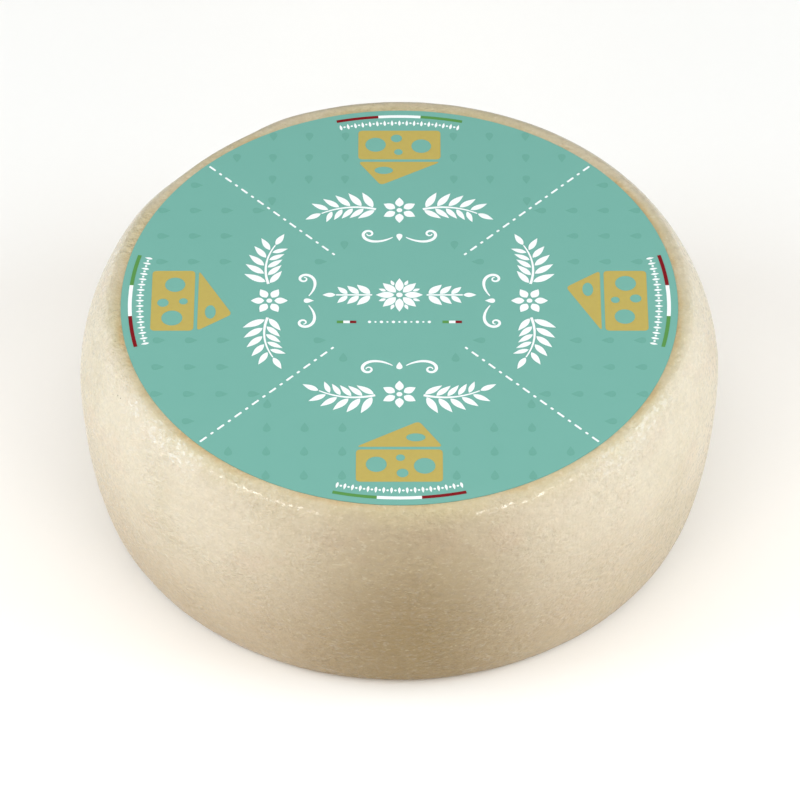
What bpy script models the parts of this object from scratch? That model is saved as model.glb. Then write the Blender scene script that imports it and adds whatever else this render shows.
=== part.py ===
"""A whole wheel of caciotta cheese with a round paper label lying on its top face.

Metres, +Z up. The origin is the middle of the base, on the plane that the wheel rests on.
The camera side of the wheel, towards which the label sits a touch off centre, is -Y.
"""

import math

import bmesh
import bpy
from mathutils import Matrix, Vector
from mathutils.geometry import interpolate_bezier

# The wheel's own sizes
WHEEL_RADIUS = 0.095
WHEEL_HEIGHT = 0.0695
GIRTH_HEIGHT = 0.042
TOP_FLAT_RADIUS = 0.084
BASE_FLAT_RADIUS = 0.088

# How far the turned side runs straight on from each flat face and from the girth before it bends
TOP_EDGE_RUN = 0.0040
BASE_EDGE_RUN = 0.0035
GIRTH_RUN_UP = 0.0100
GIRTH_RUN_DOWN = 0.0200

# The shallow swells that a soft wheel keeps from its mould: lobes round the wheel, turn of the first, height.
# Even numbers of lobes keep opposite sides alike, so that the wheel stays centred on its axis.
MOULD_SWELLS = (
    (2, 0.10, 0.00020),
    (4, 0.35, 0.00012),
    (6, 0.70, 0.00008),
)

# The label
LABEL_RADIUS = 0.0818
LABEL_THICKNESS = 0.0004
LABEL_OFF_CENTRE = 0.0014
LABEL_GAP = 0.0003

# How finely the shapes are cut
SEGMENTS = 96
POINTS_PER_CURVE = 12
SAME_POINT = 1e-6
SHARP_ANGLE = math.radians(35)

OUTWARD = Vector((1.0, 0.0, 0.0))
UPWARD = Vector((0.0, 0.0, 1.0))


def clear_scene():
    """Removes every object that the scene starts with."""
    for thing in list(bpy.data.objects):
        bpy.data.objects.remove(thing, do_unlink=True)


def plain_material(name, colour, roughness):
    """A Principled material of one linear colour."""
    material = bpy.data.materials.new(name)
    material.use_nodes = True
    shader = material.node_tree.nodes["Principled BSDF"]
    shader.inputs["Base Color"].default_value = (*colour, 1.0)
    shader.inputs["Roughness"].default_value = roughness
    shader.inputs["Metallic"].default_value = 0.0
    return material


def wheel_profile():
    """The half outline, from the middle of the top face over the shoulder and girth to the middle of the base."""
    top_edge = Vector((TOP_FLAT_RADIUS, 0.0, WHEEL_HEIGHT))
    girth = Vector((WHEEL_RADIUS, 0.0, GIRTH_HEIGHT))
    base_edge = Vector((BASE_FLAT_RADIUS, 0.0, 0.0))
    shoulder = interpolate_bezier(
        top_edge,
        top_edge + OUTWARD * TOP_EDGE_RUN,
        girth + UPWARD * GIRTH_RUN_UP,
        girth,
        POINTS_PER_CURVE,
    )
    flank = interpolate_bezier(
        girth,
        girth - UPWARD * GIRTH_RUN_DOWN,
        base_edge + OUTWARD * BASE_EDGE_RUN,
        base_edge,
        POINTS_PER_CURVE,
    )
    return [UPWARD * WHEEL_HEIGHT, *shoulder, *flank[1:], Vector((0.0, 0.0, 0.0))]


def turn_profile(form, profile):
    """Spins the outline once round the Z axis into a closed skin."""
    corners = [form.verts.new(point) for point in profile]
    runs = [form.edges.new(pair) for pair in zip(corners, corners[1:])]
    bmesh.ops.spin(
        form,
        geom=corners + runs,
        cent=(0.0, 0.0, 0.0),
        axis=UPWARD,
        angle=math.tau,
        steps=SEGMENTS,
        use_duplicate=False,
    )
    bmesh.ops.remove_doubles(form, verts=form.verts, dist=SAME_POINT)
    bmesh.ops.recalc_face_normals(form, faces=form.faces)


def press_swells(form):
    """Lets the side swell and sink a little round the wheel, fading out towards both flat faces."""
    for corner in form.verts:
        turn = math.atan2(corner.co.y, corner.co.x)
        radius = math.hypot(corner.co.x, corner.co.y)
        if radius < SAME_POINT:
            continue
        share = math.sin(math.pi * corner.co.z / WHEEL_HEIGHT)
        swell = sum(
            height * math.cos(lobes * (turn - math.tau * start)) for lobes, start, height in MOULD_SWELLS
        )
        growth = (radius + swell * share) / radius
        corner.co.x *= growth
        corner.co.y *= growth


def finish_object(name, form, material):
    """Turns a bmesh into a named, smooth-shaded object with its material."""
    mesh = bpy.data.meshes.new(name)
    form.to_mesh(mesh)
    form.free()
    mesh.materials.append(material)
    mesh.shade_smooth()
    mesh.set_sharp_from_angle(angle=SHARP_ANGLE)
    thing = bpy.data.objects.new(name, mesh)
    bpy.context.scene.collection.objects.link(thing)
    return thing


def build_wheel():
    """The solid wheel of cheese, rind included."""
    form = bmesh.new()
    turn_profile(form, wheel_profile())
    press_swells(form)
    return finish_object("cheese_wheel", form, plain_material("rind", (0.77, 0.67, 0.50), 0.45))


def build_label():
    """The round paper label, a thin disc just clear of the top face."""
    form = bmesh.new()
    bmesh.ops.create_cone(
        form,
        cap_ends=True,
        segments=SEGMENTS,
        radius1=LABEL_RADIUS,
        radius2=LABEL_RADIUS,
        depth=LABEL_THICKNESS,
        matrix=Matrix.Translation(UPWARD * LABEL_THICKNESS / 2.0),
    )
    label = finish_object("top_label", form, plain_material("label_paper", (0.20, 0.48, 0.41), 0.60))
    label.location = (0.0, -LABEL_OFF_CENTRE, WHEEL_HEIGHT + LABEL_GAP)
    return label


clear_scene()
build_wheel()
build_label()
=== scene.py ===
"""Dresses the caciotta cheese wheel: its rind, its round paper label and everything printed on it.

Sizes are in metres, and a number times MM is in millimetres. The wheel's and the label's places come
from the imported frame. The camera stands on the -Y side.
"""

from __future__ import annotations

import logging
import math
from collections.abc import Callable, Iterable, Sequence
from dataclasses import dataclass, field
from enum import Enum
from typing import Union

import bmesh
import bpy
from mathutils import Matrix, Vector
from mathutils.geometry import interpolate_bezier


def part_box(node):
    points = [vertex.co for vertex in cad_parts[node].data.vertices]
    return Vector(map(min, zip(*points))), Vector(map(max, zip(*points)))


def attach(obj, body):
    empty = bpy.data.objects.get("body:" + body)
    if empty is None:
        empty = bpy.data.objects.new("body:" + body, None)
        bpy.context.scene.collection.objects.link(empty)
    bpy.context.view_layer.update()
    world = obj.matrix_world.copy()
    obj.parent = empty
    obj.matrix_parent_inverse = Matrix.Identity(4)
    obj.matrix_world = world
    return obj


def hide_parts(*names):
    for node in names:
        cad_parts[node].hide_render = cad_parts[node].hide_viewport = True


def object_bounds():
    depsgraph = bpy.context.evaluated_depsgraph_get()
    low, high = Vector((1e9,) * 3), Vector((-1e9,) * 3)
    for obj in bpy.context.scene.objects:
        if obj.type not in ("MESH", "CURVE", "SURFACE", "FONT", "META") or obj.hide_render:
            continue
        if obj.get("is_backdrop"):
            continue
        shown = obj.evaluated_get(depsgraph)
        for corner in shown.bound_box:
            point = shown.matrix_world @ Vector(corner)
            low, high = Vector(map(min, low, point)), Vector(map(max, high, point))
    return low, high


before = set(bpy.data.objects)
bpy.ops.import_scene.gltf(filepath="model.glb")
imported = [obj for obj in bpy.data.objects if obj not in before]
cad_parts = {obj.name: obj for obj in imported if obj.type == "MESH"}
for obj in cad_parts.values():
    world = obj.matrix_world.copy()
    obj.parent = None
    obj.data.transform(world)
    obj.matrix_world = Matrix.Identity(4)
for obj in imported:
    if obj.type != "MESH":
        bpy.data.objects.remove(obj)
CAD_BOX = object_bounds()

LOG = logging.getLogger("cheese_wheel")

MM = 0.001
HAIR = 0.001 * MM
CAMERA_SIDE = 270.0
BODY = "root"
WHEEL_NODE = "cheese_wheel"
LABEL_NODE = "top_label"

# The sockets that a Mix node uses for colours, by index
MIX_SHARE = 0
MIX_FIRST = 6
MIX_SECOND = 7
MIX_RESULT = 2

Number = Union[float, "Signal"]
Colour = tuple[float, float, float]
Place = tuple[float, float, float]
Point = tuple[float, float]
Loop = list[Point]


class Slot(Enum):
    """The material slots."""

    RIND = "rind"
    PAPER = "label_paper"


class Quarter(Enum):
    """The label's four quarters, in degrees from the front one."""

    FRONT = 0
    RIGHT = 90
    BACK = 180
    LEFT = 270


# Objects and meshes


def linked(name: str, data: bpy.types.ID) -> bpy.types.Object:
    """Makes an object at the origin and puts it in the scene.

    Args:
        name: The object's name.
        data: Its mesh, curve, light or camera.

    Returns:
        The new object.
    """
    thing = bpy.data.objects.new(name, data)
    bpy.context.scene.collection.objects.link(thing)
    return thing


def mesh_of(form: bmesh.types.BMesh, name: str) -> bpy.types.Mesh:
    """Turns a bmesh into a mesh and frees it.

    Args:
        form: The bmesh, not to be used afterwards.
        name: The mesh's name.

    Returns:
        The new mesh.
    """
    mesh = bpy.data.meshes.new(name)
    form.to_mesh(mesh)
    form.free()
    return mesh


def evaluated_mesh(thing: bpy.types.Object) -> bpy.types.Mesh:
    """Works out an object's curve or modifiers.

    Args:
        thing: The object, which stays as it is.

    Returns:
        What it shows, as a new plain mesh.
    """
    bpy.context.view_layer.update()
    world = bpy.context.evaluated_depsgraph_get()
    return bpy.data.meshes.new_from_object(thing.evaluated_get(world), depsgraph=world)


# Node trees


@dataclass(frozen=True)
class Signal:
    """A node's output that takes part in arithmetic by adding Math nodes."""

    graph: Graph
    socket: bpy.types.NodeSocket

    def math(self, operation: str, *values: Number) -> Signal:
        """Adds one Math node on the given values."""
        return self.graph.add("ShaderNodeMath", {"operation": operation}, dict(enumerate(values)))

    def other(self, output: str) -> Signal:
        """Another output of the same node."""
        return Signal(self.graph, self.socket.node.outputs[output])

    def __add__(self, value: Number) -> Signal:
        """self + value."""
        return self.math("ADD", self, value)

    def __radd__(self, value: Number) -> Signal:
        """value + self."""
        return self.math("ADD", value, self)

    def __sub__(self, value: Number) -> Signal:
        """self - value."""
        return self.math("SUBTRACT", self, value)

    def __rsub__(self, value: Number) -> Signal:
        """value - self."""
        return self.math("SUBTRACT", value, self)

    def __mul__(self, value: Number) -> Signal:
        """self * value."""
        return self.math("MULTIPLY", self, value)

    def __rmul__(self, value: Number) -> Signal:
        """value * self."""
        return self.math("MULTIPLY", value, self)

    def __truediv__(self, value: Number) -> Signal:
        """self / value."""
        return self.math("DIVIDE", self, value)

    def __pow__(self, value: Number) -> Signal:
        """self to the power of value."""
        return self.math("POWER", self, value)

    def __gt__(self, value: Number) -> Signal:
        """1 where self is greater than value, else 0."""
        return self.math("GREATER_THAN", self, value)

    def __lt__(self, value: Number) -> Signal:
        """1 where self is less than value, else 0."""
        return self.math("LESS_THAN", self, value)


class Graph:
    """Adds nodes to one node tree."""

    def __init__(self, tree: bpy.types.NodeTree) -> None:
        """Keeps the tree that the nodes go into."""
        self.tree = tree

    def add(
        self,
        kind: str,
        settings: dict | None = None,
        values: dict | None = None,
        out: int | str = 0,
    ) -> Signal:
        """Adds one node.

        Args:
            kind: The node's type, such as ShaderNodeMath.
            settings: The node's own properties, set first.
            values: Numbers, vectors or signals by the name or the index of the input.
            out: The name or the index of the output to give back.

        Returns:
            The chosen output.
        """
        node = self.tree.nodes.new(kind)
        for name, setting in (settings or {}).items():
            setattr(node, name, setting)
        for key, value in (values or {}).items():
            if isinstance(value, Signal):
                self.tree.links.new(value.socket, node.inputs[key])
            else:
                node.inputs[key].default_value = value
        return Signal(self, node.outputs[out])

    def step(self, value: Number, low: float, high: float) -> Signal:
        """Adds a soft step.

        Args:
            value: What the step follows.
            low: Where it starts to rise from 0; it may be larger than high.
            high: Where it has reached 1.

        Returns:
            A number from 0 to 1.
        """
        values = {"Value": value, "From Min": low, "From Max": high, "To Min": 0.0, "To Max": 1.0}
        return self.add("ShaderNodeMapRange", {"interpolation_type": "SMOOTHSTEP"}, values)

    def blend(self, share: Number, first: Colour | Signal, second: Colour | Signal) -> Signal:
        """Mixes two colours.

        Args:
            share: 0 gives the first colour and 1 the second.
            first: One colour.
            second: The other one.

        Returns:
            The mixed colour.
        """
        ends = [end if isinstance(end, Signal) else (*end, 1.0) for end in (first, second)]
        values = {MIX_SHARE: share, MIX_FIRST: ends[0], MIX_SECOND: ends[1]}
        return self.add("ShaderNodeMix", {"data_type": "RGBA"}, values, out=MIX_RESULT)

    def noise(self, place: Signal, scale: Number, detail: float = 3.0, roughness: float = 0.55) -> Signal:
        """Noise from 0 to 1 that averages about 0.5."""
        values = {"Vector": place, "Scale": scale, "Detail": detail, "Roughness": roughness}
        return self.add("ShaderNodeTexNoise", {"noise_dimensions": "3D"}, values)

    def wander(self, place: Signal, scale: float, detail: float, reach: float) -> Signal:
        """A noisy length that swings to both sides of nought, over reach in all."""
        return (self.noise(place, scale, detail) - 0.5) * reach

    def scaled(self, vector: Signal | Colour, factor: Number) -> Signal:
        """Multiplies a vector or a colour by one number."""
        return self.add("ShaderNodeVectorMath", {"operation": "SCALE"}, {"Vector": vector, "Scale": factor})

    def stretched(self, place: Signal, factors: Place) -> Signal:
        """Scales a position along each axis."""
        return self.add("ShaderNodeVectorMath", {"operation": "MULTIPLY"}, {0: place, 1: factors})

    def distance(self, place: Signal, centre: Place) -> Signal:
        """How far a position is from a fixed one."""
        return self.add("ShaderNodeVectorMath", {"operation": "DISTANCE"}, {0: place, 1: centre}, out="Value")

    def axis(self, vector: Signal, name: str) -> Signal:
        """A vector's X, Y or Z; the other two are other outputs of the same node."""
        return self.add("ShaderNodeSeparateXYZ", {}, {"Vector": vector}, out=name)


class ShaderGraph(Graph):
    """The nodes of one Principled material."""

    def __init__(self, name: str) -> None:
        """Makes the material, empty but for its Principled shader.

        Args:
            name: The material's name.
        """
        self.material = bpy.data.materials.new(name)
        self.material.use_nodes = True
        super().__init__(self.material.node_tree)
        self.shader = self.tree.nodes["Principled BSDF"]

    def place(self) -> Signal:
        """The object's own coordinates, in metres."""
        return self.add("ShaderNodeTexCoord", out="Object")

    def bump(self, height: Signal, depth: float, below: Signal | None = None) -> Signal:
        """Bends the surface's normal.

        Args:
            height: The relief, from 0 to 1.
            depth: How many metres a height of 1 stands for.
            below: The coarser relief that this one lies on, if any.

        Returns:
            The bent normal.
        """
        values = {"Height": height, "Distance": depth, "Strength": 1.0}
        if below is not None:
            values["Normal"] = below
        return self.add("ShaderNodeBump", {}, values)

    def feed(self, **inputs: Number) -> bpy.types.Material:
        """Sets or links the Principled shader's inputs.

        Args:
            **inputs: Values or signals by the input's name, with _ for each space.

        Returns:
            The finished material.
        """
        for name, value in inputs.items():
            target = self.shader.inputs[name.replace("_", " ")]
            if isinstance(value, Signal):
                self.tree.links.new(value.socket, target)
            else:
                target.default_value = value
        return self.material


class GeometryTree(Graph):
    """A Geometry Nodes tree with named size inputs, run on one object and made a plain mesh."""

    def __init__(self, name: str) -> None:
        """Makes the tree with a geometry input and output.

        Args:
            name: The tree's name.
        """
        super().__init__(bpy.data.node_groups.new(name, "GeometryNodeTree"))
        for side in ("INPUT", "OUTPUT"):
            self.tree.interface.new_socket("Geometry", in_out=side, socket_type="NodeSocketGeometry")
        self.entry = self.tree.nodes.new("NodeGroupInput")
        self.sizes: dict[str, float] = {}

    def shape(self) -> Signal:
        """The geometry that comes in."""
        return Signal(self, self.entry.outputs["Geometry"])

    def size(self, name: str, value: float) -> Signal:
        """Adds a named input that holds one number.

        Args:
            name: The input's name.
            value: The number, set on the modifier by the input's identifier.

        Returns:
            The input, inside the tree.
        """
        made = self.tree.interface.new_socket(name, in_out="INPUT", socket_type="NodeSocketFloat")
        self.sizes[made.identifier] = value
        return Signal(self, self.entry.outputs[name])

    def vector(self, x: Number = 0.0, y: Number = 0.0, z: Number = 0.0) -> Signal:
        """Three numbers as one vector."""
        return self.add("ShaderNodeCombineXYZ", {}, {"X": x, "Y": y, "Z": z})

    def points(self, count: int, place: Signal) -> Signal:
        """A row of points, each at its own place."""
        return self.add("GeometryNodePoints", {}, {"Count": count, "Position": place})

    def index(self) -> Signal:
        """The number of each point, from 0."""
        return self.add("GeometryNodeInputIndex")

    def instances(self, points: Signal, shape: Signal, turn: Number, scale: Number = 1.0) -> Signal:
        """Sets a shape on every point.

        Args:
            points: The points.
            shape: The geometry to set.
            turn: Its turn about Z, in radians.
            scale: Its scale in the label's plane.

        Returns:
            The instances.
        """
        size = self.vector(scale, scale, 1.0)
        values = {"Points": points, "Instance": shape, "Rotation": self.vector(z=turn), "Scale": size}
        return self.add("GeometryNodeInstanceOnPoints", {}, values)

    def joined(self, *shapes: Signal) -> Signal:
        """Puts several geometries together.

        Args:
            *shapes: The geometries.

        Returns:
            All of them as one.
        """
        node = self.tree.nodes.new("GeometryNodeJoinGeometry")
        for shape in shapes:
            self.tree.links.new(shape.socket, node.inputs[0])
        return Signal(self, node.outputs[0])

    def in_quarters(self, shape: Signal) -> Signal:
        """The front quarter's shape, repeated in all four quarters of the label."""
        turn = self.index() * math.radians(Quarter.RIGHT.value)
        return self.instances(self.points(len(Quarter), self.vector()), shape, turn)

    def run_on(
        self,
        thing: bpy.types.Object,
        result: Signal,
        material: bpy.types.Material,
    ) -> bpy.types.Object:
        """Ends the tree, evaluates it on an object and leaves the result there as a plain mesh.

        Args:
            thing: The object whose mesh goes in.
            result: The geometry that comes out.
            material: The material of everything made.

        Returns:
            The same object, with no modifier left.
        """
        real = self.add("GeometryNodeRealizeInstances", {}, {"Geometry": result})
        dressed = self.add("GeometryNodeSetMaterial", {}, {"Geometry": real, "Material": material})
        leave = self.tree.nodes.new("NodeGroupOutput")
        self.tree.links.new(dressed.socket, leave.inputs["Geometry"])
        modifier = thing.modifiers.new(self.tree.name, "NODES")
        modifier.node_group = self.tree
        for identifier, value in self.sizes.items():
            modifier[identifier] = value
        plain = evaluated_mesh(thing)
        thing.modifiers.clear()
        thing.data = plain
        return thing


# Finishes


@dataclass(frozen=True)
class Patches:
    """Soft-edged patches cut out of noise, which starts to show at low and is full at high."""

    scale: float
    detail: float
    low: float
    high: float
    flatness: float = 1.0

    def mask(self, graph: Graph, place: Signal) -> Signal:
        """0 between the patches and 1 inside them; flatness above 1 makes them lie flat."""
        flattened = graph.stretched(place, (1.0, 1.0, self.flatness))
        return graph.step(graph.noise(flattened, self.scale, self.detail), self.low, self.high)


@dataclass(frozen=True)
class RindFinish:
    """A smooth coated cheese rind: cream, a little glossy, with a stained ring round the label, and with
    painted shade and painted glints in its colour.
    """

    label_centre: Vector
    label_radius: float
    wheel_height: float
    shoulder: Colour = (0.552, 0.464, 0.341)
    # Darker than the shoulder: painted shade towards the bottom of the side.
    foot: Colour = (0.425, 0.324, 0.208)
    patch: Colour = (0.439, 0.357, 0.230)
    # Painted shade: the dark tan colour of a patch on the front of the side, toward the camera.
    painted_front_shade: Colour = (0.240, 0.164, 0.062)
    blush: Colour = (0.531, 0.406, 0.297)
    # Painted glints: the pale colour of flecks that stand in for the coating's small sparkles.
    painted_glint: Colour = (0.710, 0.635, 0.485)
    ring: Colour = (0.475, 0.398, 0.228)
    stain: Colour = (0.475, 0.335, 0.163)
    speck: Colour = (0.11, 0.09, 0.06)
    patched: Patches = Patches(34.0, 4.0, 0.42, 0.72)
    blushed: Patches = Patches(58.0, 3.0, 0.50, 0.70, 1.6)
    painted_glint_spots: Patches = Patches(640.0, 1.0, 0.62, 0.74, 2.6)
    greasy: Patches = Patches(620.0, 2.0, 0.50, 0.66, 1.6)
    wrinkled: Patches = Patches(60.0, 2.0, 0.42, 0.60)
    ringed: Patches = Patches(26.0, 2.0, 0.30, 0.66)
    oiled: Patches = Patches(50.0, 3.0, 0.46, 0.62)
    patch_share: float = 0.50
    blush_share: float = 0.40
    painted_glint_share: float = 0.19
    foot_start: float = 2 * MM
    shoulder_drop: float = 8 * MM
    # Where the painted shade on the front of the side sits, how far it reaches and how strong it is.
    painted_shade_centre: Place = (4 * MM, -93 * MM, 12 * MM)
    painted_shade_core: float = 1 * MM
    painted_shade_reach: float = 52 * MM
    painted_shade_flatness: float = 0.6
    painted_shade_share: float = 0.88
    ring_width: float = 6.4 * MM
    ring_drop: tuple[float, float] = (9 * MM, 4 * MM)
    stain_start: float = 0.4 * MM
    stain_width: float = 2.2 * MM
    speck_radius: float = 0.42 * MM
    small_speck: float = 0.7
    speck_share: float = 0.8
    specks: tuple[Place, ...] = (
        (-0.08182, -0.03473, 0.06413),
        (-0.08330, -0.03290, 0.06270),
        (-0.08080, -0.03620, 0.06440),
        (0.08270, -0.03400, 0.06290),
    )

    def material(self) -> bpy.types.Material:
        """Builds the material.

        Returns:
            The finished material.
        """
        graph = ShaderGraph("cheese_rind")
        place = graph.place()
        wrinkles = self._wrinkles(graph, place)
        greasy = self.greasy.mask(graph, place)
        return graph.feed(
            Base_Color=self._colour(graph, place, wrinkles),
            Roughness=0.44 + 0.18 * graph.noise(place, 160.0) - 0.12 * greasy,
            Normal=self._relief(graph, place, wrinkles),
            Coat_Weight=0.08 + 0.80 * greasy,
            Coat_Roughness=0.12,
            Subsurface_Weight=0.10,
            Subsurface_Scale=2.0 * MM,
            Subsurface_Radius=(1.0, 0.6, 0.3),
            Specular_IOR_Level=0.38,
        )

    def _wrinkles(self, graph: ShaderGraph, place: Signal) -> Signal:
        """Fine wrinkles that lie along the side, strong in some patches and faint in others.

        Args:
            graph: The material's nodes.
            place: The object's own coordinates.

        Returns:
            Their height, about 0.5.
        """
        broad = graph.noise(graph.stretched(place, (1.0, 1.0, 2.4)), 150.0, 2.0) - 0.5
        fine = graph.noise(graph.stretched(place, (1.0, 1.0, 1.5)), 500.0, 2.0, 0.6) - 0.5
        return 0.5 + broad * 0.35 + fine * (0.45 + 0.85 * self.wrinkled.mask(graph, place))

    def _colour(self, graph: ShaderGraph, place: Signal, wrinkles: Signal) -> Signal:
        """Cream with painted shade that darkens it towards the foot, on the front of the side and in the
        wrinkles' hollows, deeper in soft patches, with pale flecks painted in as small glints, and stained
        round the label.

        Args:
            graph: The material's nodes.
            place: The object's own coordinates.
            wrinkles: The wrinkles' height, whose hollows are darkened in the colour as painted shade.

        Returns:
            The rind's colour.
        """
        # Painted shade: the colour darkens from the shoulder towards the foot.
        height = graph.axis(place, "Z") + graph.wander(place, 22.0, 2.0, 34 * MM)
        rise = graph.step(height, self.foot_start, self.wheel_height - self.shoulder_drop)
        body = graph.blend(rise, self.foot, self.shoulder)
        body = graph.blend(self.patched.mask(graph, place) * self.patch_share, body, self.patch)
        body = graph.blend(self.blushed.mask(graph, place) * self.blush_share * rise, body, self.blush)
        # Painted shade on the front of the side, toward the camera.
        body = graph.blend(self._painted_shade_depth(graph, place) * self.painted_shade_share, body, self.painted_front_shade)
        body = self._stained(graph, place, body)
        mottle = graph.noise(place, 520.0, 2.0)
        grain = graph.noise(place, 1500.0, 1.0)
        # Painted shade: the wrinkles' hollows are darker; mottle and grain are random tone.
        body = graph.scaled(body, 0.72 + 0.20 * mottle + 0.14 * grain + 0.22 * wrinkles)
        # Painted glints: pale flecks in the colour, stretched along the side.
        body = graph.blend(self.painted_glint_spots.mask(graph, place) * self.painted_glint_share, body, self.painted_glint)
        return graph.blend(self._specks(graph, place), body, self.speck)

    def _painted_shade_depth(self, graph: ShaderGraph, place: Signal) -> Signal:
        """Painted shade: a broad dark tan patch on the front of the side, toward the camera, with a soft and
        uneven edge.

        Args:
            graph: The material's nodes.
            place: The object's own coordinates.

        Returns:
            How deep the painted shade is, from 0 to 1.
        """
        away = graph.distance(graph.stretched(place, (1.0, 1.0, self.painted_shade_flatness)), self.painted_shade_centre)
        uneven = graph.wander(place, 34.0, 2.0, 15 * MM)
        return 1.0 - graph.step(away + uneven, self.painted_shade_core, self.painted_shade_reach)

    def _stained(self, graph: ShaderGraph, place: Signal, body: Signal) -> Signal:
        """The yellowish ring round the label, with orange stains where oil gathers at the paper's edge.

        Args:
            graph: The material's nodes.
            place: The object's own coordinates.
            body: The colour so far.

        Returns:
            The colour with its stains.
        """
        x = graph.axis(place, "X")
        across = x - self.label_centre.x
        deep = x.other("Y") - self.label_centre.y
        beyond = (across * across + deep * deep) ** 0.5 - self.label_radius
        ragged = graph.wander(place, 130.0, 3.0, 4.4 * MM)
        low, high = (self.wheel_height - drop for drop in self.ring_drop)
        on_top = graph.step(x.other("Z"), low, high)
        spread = self.ringed.mask(graph, place) * 0.55 + 0.35
        ring = 1.0 - graph.step(beyond + ragged, 0.0, self.ring_width)
        body = graph.blend(ring * on_top * spread, body, self.ring)
        edge = 1.0 - graph.step(beyond + ragged * 0.5, self.stain_start, self.stain_width)
        # The stains fade where the painted shade on the front of the side lies.
        outside_painted_shade = 1.0 - 0.8 * self._painted_shade_depth(graph, place)
        strength = 0.20 + 0.60 * self.oiled.mask(graph, place)
        return graph.blend(edge * on_top * outside_painted_shade * strength, body, self.stain)

    def _specks(self, graph: ShaderGraph, place: Signal) -> Signal:
        """A few tiny dark specks caught in the coating, the first one the largest.

        Args:
            graph: The material's nodes.
            place: The object's own coordinates.

        Returns:
            How dark the specks are, from 0 to 1.
        """
        shown: Number = 0.0
        ragged = graph.wander(place, 1800.0, 2.0, 0.4 * MM)
        for index, centre in enumerate(self.specks):
            radius = self.speck_radius * (self.small_speck if index else 1.0)
            away = graph.distance(place, centre)
            shown = shown + (1.0 - graph.step(away + ragged, radius * 0.4, radius))
        return shown * self.speck_share

    def _relief(self, graph: ShaderGraph, place: Signal, wrinkles: Signal) -> Signal:
        """The wrinkles, small lumps and a leathery grain, from coarse to fine.

        Args:
            graph: The material's nodes.
            place: The object's own coordinates.
            wrinkles: The wrinkles' height.

        Returns:
            The bent normal.
        """
        lumps = graph.noise(place, 380.0, 2.0)
        grain = graph.noise(place, 1400.0, 2.0, 0.6)
        coarse = graph.bump(wrinkles, 0.48 * MM)
        return graph.bump(grain, 0.12 * MM, graph.bump(lumps, 0.24 * MM, coarse))


@dataclass(frozen=True)
class PaperFinish:
    """Smooth label paper printed edge to edge in teal."""

    teal: Colour = (0.1530, 0.366, 0.305)
    light_teal: Colour = (0.1605, 0.3765, 0.313)

    def material(self) -> bpy.types.Material:
        """Builds the material.

        Returns:
            The finished material.
        """
        graph = ShaderGraph("teal_paper")
        place = graph.place()
        mottle = graph.noise(place, 160.0, 4.0)
        fibres = graph.noise(graph.stretched(place, (1.0, 2.2, 1.0)), 1500.0, 3.0)
        return graph.feed(
            Base_Color=graph.blend(mottle, self.teal, self.light_teal),
            Roughness=0.50 + 0.10 * fibres,
            Normal=graph.bump(fibres, 0.010 * MM),
            Specular_IOR_Level=0.20,
        )


class Ink(Enum):
    """The label's printing inks, as linear colours."""

    WHITE = (0.83, 0.83, 0.82)
    GOLD = (0.450, 0.345, 0.090)
    GREEN = (0.090, 0.250, 0.060)
    RED = (0.190, 0.004, 0.008)
    DEEP_TEAL = (0.1335, 0.337, 0.272)


STRIPE_INKS = (Ink.GREEN, Ink.WHITE, Ink.RED)


@dataclass(frozen=True)
class InkFinish:
    """A matt printing ink, slightly uneven over the paper's grain."""

    ink: Ink
    unevenness: float = 0.05

    def material(self) -> bpy.types.Material:
        """Builds the material, or finds it if it is there already.

        Returns:
            The ink's one material.
        """
        name = f"ink_{self.ink.name.lower()}"
        if name in bpy.data.materials:
            return bpy.data.materials[name]
        graph = ShaderGraph(name)
        cover = graph.noise(graph.place(), 700.0, 4.0)
        return graph.feed(
            Base_Color=graph.scaled(self.ink.value, 1.0 - self.unevenness + 2.0 * self.unevenness * cover),
            Roughness=0.48 + 0.10 * cover,
            Normal=graph.bump(cover, 0.008 * MM),
            Specular_IOR_Level=0.20,
        )


# Flat outlines, in metres on the label's plane


def turns_round(count: int) -> list[float]:
    """Evenly spaced turns once round, in radians."""
    return [math.tau * step / count for step in range(count)]


def oval_loop(x: float, y: float, half_width: float, half_height: float, count: int = 28) -> Loop:
    """An oval outline about a point."""
    turns = turns_round(count)
    return [(x + half_width * math.cos(turn), y + half_height * math.sin(turn)) for turn in turns]


def circle_loop(x: float, y: float, radius: float, count: int = 28) -> Loop:
    """A round outline about a point."""
    return oval_loop(x, y, radius, radius, count)


def leaf_loop(length: float, width: float, count: int = 9) -> Loop:
    """A pointed leaf.

    Args:
        length: Its length, from the origin along +X.
        width: Its greatest width.
        count: The number of straight pieces in each side.

    Returns:
        The outline.
    """
    shares = [step / count for step in range(count + 1)]
    edge = [(length * share, width / 2 * math.sin(math.pi * share**0.8)) for share in shares]
    return edge + [(x, -y) for x, y in reversed(edge[1:-1])]


def drop_loop(length: float, width: float, count: int = 16) -> Loop:
    """A drop about the origin, whose point looks along +Y.

    Args:
        length: Its length.
        width: About its greatest width.
        count: The number of corners.

    Returns:
        The outline.
    """
    outline = []
    for turn in turns_round(count):
        narrowing = math.sin(turn / 2) ** 1.5
        outline.append((width * 0.65 * math.sin(turn) * narrowing, length / 2 * math.cos(turn)))
    return outline


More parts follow.
